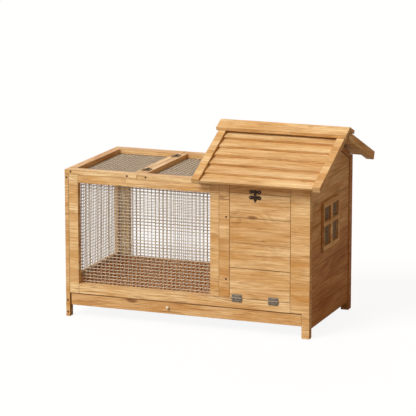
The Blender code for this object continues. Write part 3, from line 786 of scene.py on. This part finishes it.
def hinge_pair(label, place, turn, bodies, nodes, look, heads_look):
    """Both leaves of a butt hinge, turned and moved into place."""
    # the fixed leaf has the two outer knuckles, the moving leaf the middle one
    spans = (((0.0, 0.328), (0.672, 1.0)), ((0.336, 0.664),))
    put = Matrix.Translation(place) @ turn
    for sign, tabs, body, node in zip((-1, 1), spans, bodies, nodes):
        leaf = pressed_leaf(f"{label}_{'fixed' if sign < 0 else 'moving'}_leaf", sign, tabs)
        leaf.data.materials.clear()
        leaf.data.materials.append(look)
        heads = [screw_head((x, BARREL - LEAF, sign * SCREW_ROW), 0.0024, heads_look)
                 for x in HINGE_SCREWS]
        leaf = joined(leaf.name, [leaf] + heads)
        bpy.ops.object.shade_smooth_by_angle(angle=radians(35))
        leaf.data.transform(put)
        slot = "hinge_steel" if look is STEEL else "hinge_bronze"
        fit(leaf, body, slot, node)


for side in ("left", "right"):
    nodes = [f"door_hinge_{side}_frame_leaf", f"door_hinge_{side}_door_leaf"]
    low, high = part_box(nodes[0])
    place = ((low.x + high.x) / 2, low.y + BARREL, high.z - BARREL)
    hinge_pair("door_hinge_" + side, place, Matrix.Identity(4), ("hutch", "house_door"),
               nodes, STEEL, SCREW_STEEL)


# ---- Hinges of the run's lid ----
# The same small butt hinge in worn antique bronze, laid flat over the seam, its barrel
# along the seam. The fixed leaf is on the frame beside the lid.
LAID_FLAT = Matrix(((0, 0, -1, 0), (1, 0, 0, 0), (0, -1, 0, 0), (0, 0, 0, 1)))
for end in ("front", "rear"):
    nodes = [f"lid_hinge_{end}_frame_leaf", f"lid_hinge_{end}_lid_leaf"]
    low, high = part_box(nodes[0])
    place = (low.x + BARREL, (low.y + high.y) / 2, high.z - BARREL)
    hinge_pair("lid_hinge_" + end, place, LAID_FLAT, ("hutch", "run_lid"), nodes,
               OLD_BRONZE, BRONZE)


# ---- Latch ----
# Stamped antique-bronze plates with scalloped edges, one on the rail and one on the
# door, and a ribbed flap on a pin that closes over the upper one.
PLATE = 0.0015                  # how far a plate stands out at its middle
PLATE_SCREWS = (-0.0165, 0.0165)        # from the plate's middle, along it


def scalloped_plate(name, middle, width, height, tail=0.0):
    """A domed plate with lobes along both edges and, if asked, a drop below its middle."""
    bpy.ops.mesh.primitive_grid_add(x_subdivisions=60, y_subdivisions=10, size=2)
    made = bpy.context.active_object
    made.name = made.data.name = name
    fronts = len(made.data.vertices)
    for vertex in made.data.vertices:
        u, v = vertex.co.x, vertex.co.y
        half = height / 2 * (0.82 + 0.18 * cos(3 * pi * u)) * (1 - 0.8 * u ** 8) ** 0.5
        x, z = u * width / 2, v * half
        if v < 0:
            z += v * tail * max(0.0, 1 - (x / 0.0070) ** 2)
        vertex.co = (x, -PLATE * (0.5 + 0.5 * (1 - v ** 4) * (1 - u ** 6)), z)
    back = made.modifiers.new("back", "SOLIDIFY")
    back.thickness = PLATE / 3
    bpy.ops.object.modifier_apply(modifier="back")
    for vertex in made.data.vertices[fronts:]:
        vertex.co.y = 0
    bpy.ops.object.mode_set(mode="EDIT")
    bpy.ops.mesh.select_all(action="SELECT")
    bpy.ops.mesh.normals_make_consistent(inside=False)
    bpy.ops.object.mode_set(mode="OBJECT")
    made.data.transform(Matrix.Translation(middle))
    bpy.ops.object.shade_smooth_by_angle(angle=radians(35))
    made.data.materials.append(BRONZE)
    return made


def screwed_plate(name, middle, width, height, tail=0.0):
    """A scalloped plate with the head of a screw at each end."""
    parts = [scalloped_plate(name, middle, width, height, tail)]
    for x in PLATE_SCREWS:
        place = middle + Vector((x, -PLATE * 0.9, 0))
        parts.append(screw_head(place, 0.0021, OLD_BRONZE))
    return parts


def bar(name, low, high):
    """A small rounded block between two corners."""
    bpy.ops.mesh.primitive_cube_add(size=1, location=[(a + b) / 2 for a, b in zip(low, high)])
    made = bpy.context.active_object
    made.name = made.data.name = name
    made.scale = [b - a for a, b in zip(low, high)]
    bpy.ops.object.transform_apply(location=True, rotation=True, scale=True)
    bpy.ops.object.mode_set(mode="EDIT")
    bpy.ops.mesh.select_all(action="SELECT")
    bpy.ops.mesh.bevel(offset=0.0003, segments=2, affect="EDGES")
    bpy.ops.object.mode_set(mode="OBJECT")
    made.data.materials.append(BRONZE)
    return made


def rod(name, middle, radius, length):
    """A short bar along X with rounded ends."""
    bpy.ops.mesh.primitive_cylinder_add(vertices=24, radius=radius, depth=length,
                                        location=middle, rotation=(0, pi / 2, 0))
    made = bpy.context.active_object
    made.name = made.data.name = name
    bpy.ops.object.transform_apply(location=True, rotation=True, scale=True)
    rounded_off(made, radius * 0.15)
    made.data.materials.append(BRONZE)
    return made


low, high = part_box("latch_strike_plate")
centre = (low + high) / 2
face = high.y                   # the timber's face, which the plates lie on
parts = screwed_plate("strike", Vector((centre.x, face, centre.z)), high.x - low.x,
                      high.z - low.z + 0.003)
fit(joined("latch_upper_plate", parts), "hutch", "latch_bronze", "latch_strike_plate")

low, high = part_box("latch_door_plate")
flap_low, flap_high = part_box("latch_flap")
pin = Vector((centre.x, flap_low.y + BARREL, flap_low.z + BARREL))
EAR = 0.0024                    # from the pin to the ears' edges
parts = screwed_plate("door_plate", Vector((centre.x, face, high.z - 0.0074)), high.x - low.x,
                      0.0148, tail=0.0090)
for x in (-0.011, 0.011):
    parts.append(bar("ear", pin + Vector((x - 0.002, -EAR, -EAR)),
                     (pin.x + x + 0.002, face - PLATE * 0.5, pin.z + EAR)))
parts.append(rod("pin", pin, 0.0015, 0.026))
fit(joined("latch_lower_plate", parts), "house_door", "latch_bronze", "latch_door_plate")

parts = [bar("tongue", (pin.x - 0.0040, face - 0.0043, pin.z),
             (pin.x + 0.0040, face - 0.0026, flap_high.z)),
         rod("roll", pin, 0.0029, 0.0158),
         bar("rib", (pin.x - 0.0022, face - 0.0050, pin.z + 0.002),
             (pin.x + 0.0022, face - 0.0040, flap_high.z - 0.002))]
fit(joined("latch_closing_flap", parts), "latch", "latch_bronze", "latch_flap")


# ---- Screws through the timber ----
# Blackened countersunk screws, dark enough to stand also for the shade in their holes:
# painted shade. They hold the boards of the front to each other, and the lid's front rail
# to its cross rails. Each is so far from the left end and so high.
BLACK_AND_HOLE_SHADE = plated_metal("blackened_steel_screw", "#4A3A2C", "#231A14", 0.5, 0.5, 0.0008)
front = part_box("front_mid_post")[0].y
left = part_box("left_side_frame")[0].x
for label, body, spots in (
        ("frame_screws", "hutch", ((0.0075, 0.016), (0.0073, 0.058), (0.0073, 0.496),
                                   (0.304, 0.517), (0.599, 0.401), (0.599, 0.185))),
        ("lid_screws", "run_lid", ((0.0228, 0.5185), (0.235, 0.517)))):
    heads = [screw_head((left + x, front - 0.0001, z), 0.0033, BLACK_AND_HOLE_SHADE) for x, z in spots]
    fit(joined(label, heads), body, "hinge_steel")
